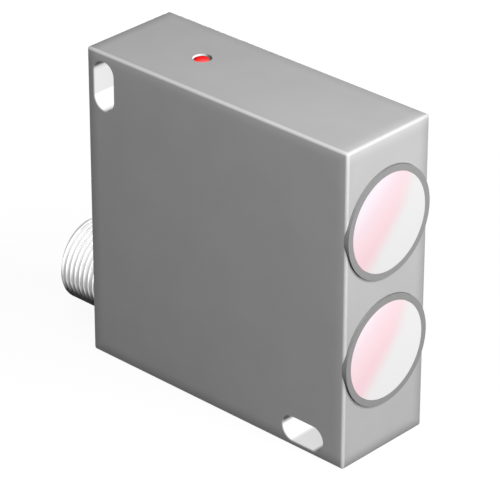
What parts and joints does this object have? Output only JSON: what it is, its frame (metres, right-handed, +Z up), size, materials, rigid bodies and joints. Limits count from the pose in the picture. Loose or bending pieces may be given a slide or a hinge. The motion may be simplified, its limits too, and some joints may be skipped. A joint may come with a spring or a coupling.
{
  "type": "optical sensor",
  "caption": "Flat square metal optical sensor with round lenses on its narrow front, slots for fixing screws, a red lamp on top and a threaded plug connector at the rear.",
  "frame": {"origin": "middle of the housing's bottom face", "axes": "+X along the length towards the lenses, +Y through the thickness towards the side cover, +Z up"},
  "size_m": [0.0634, 0.018, 0.053],
  "materials": {
    "housing_metal": "satin grey coat, bare metal inside the slots",
    "cover_metal": "satin grey coat",
    "bezel_metal": "matt dark grey",
    "lens_glass": "milky with a pink sheen",
    "connector_metal": "bright nickel plate",
    "contact_metal": "polished",
    "screw_steel": "plain",
    "seal_rubber": "matt",
    "black_plastic": "matt moulded",
    "diode_resin": "clear red cast resin",
    "dark_resin": "dark cast resin",
    "tinned_wire": "tinned",
    "board_laminate": "green solder mask",
    "chip_plastic": "moulded",
    "chip_ceramic": "fired tan ceramic with tinned ends",
    "capacitor_can": "plain",
    "lamp_red": "tinted resin",
    "wire_sleeve": "smooth"
  },
  "bodies": {
    "root": {"housing": "housing_metal", "side_cover": "cover_metal", "cover_screws": "screw_steel", "cover_gasket": "seal_rubber", "emitter_bezel": "bezel_metal", "receiver_bezel": "bezel_metal", "emitter_lens": "lens_glass", "receiver_lens": "lens_glass", "emitter_lens_seal": "seal_rubber", "receiver_lens_seal": "seal_rubber", "emitter_light_tube": "black_plastic", "receiver_light_tube": "black_plastic", "emitter_diode": "diode_resin", "receiver_diode": "dark_resin", "emitter_anode_lead": "tinned_wire", "emitter_cathode_lead": "tinned_wire", "receiver_anode_lead": "tinned_wire", "receiver_cathode_lead": "tinned_wire", "circuit_board": "board_laminate", "board_screws": "screw_steel", "controller_chip": "chip_plastic", "amplifier_chip": "chip_plastic", "voltage_regulator": "chip_plastic", "output_transistor": "chip_plastic", "chip_resistor_1": "chip_plastic", "chip_resistor_2": "chip_plastic", "chip_resistor_3": "chip_plastic", "chip_resistor_4": "chip_plastic", "chip_resistor_5": "chip_plastic", "chip_resistor_6": "chip_plastic", "ceramic_capacitor_1": "chip_ceramic", "ceramic_capacitor_2": "chip_ceramic", "ceramic_capacitor_3": "chip_ceramic", "ceramic_capacitor_4": "chip_ceramic", "protection_diode_1": "chip_plastic", "protection_diode_2": "chip_plastic", "smoothing_capacitor": "capacitor_can", "indicator_lamp": "lamp_red", "indicator_anode_lead": "tinned_wire", "indicator_cathode_lead": "tinned_wire", "connector_shell": "connector_metal", "connector_ring": "seal_rubber", "connector_insert": "black_plastic", "contact_pin_1": "contact_metal", "contact_pin_2": "contact_metal", "contact_pin_3": "contact_metal", "contact_pin_4": "contact_metal", "connector_wire_1": "wire_sleeve", "connector_wire_2": "wire_sleeve", "connector_wire_3": "wire_sleeve", "connector_wire_4": "wire_sleeve"}
  },
  "joints": []
}
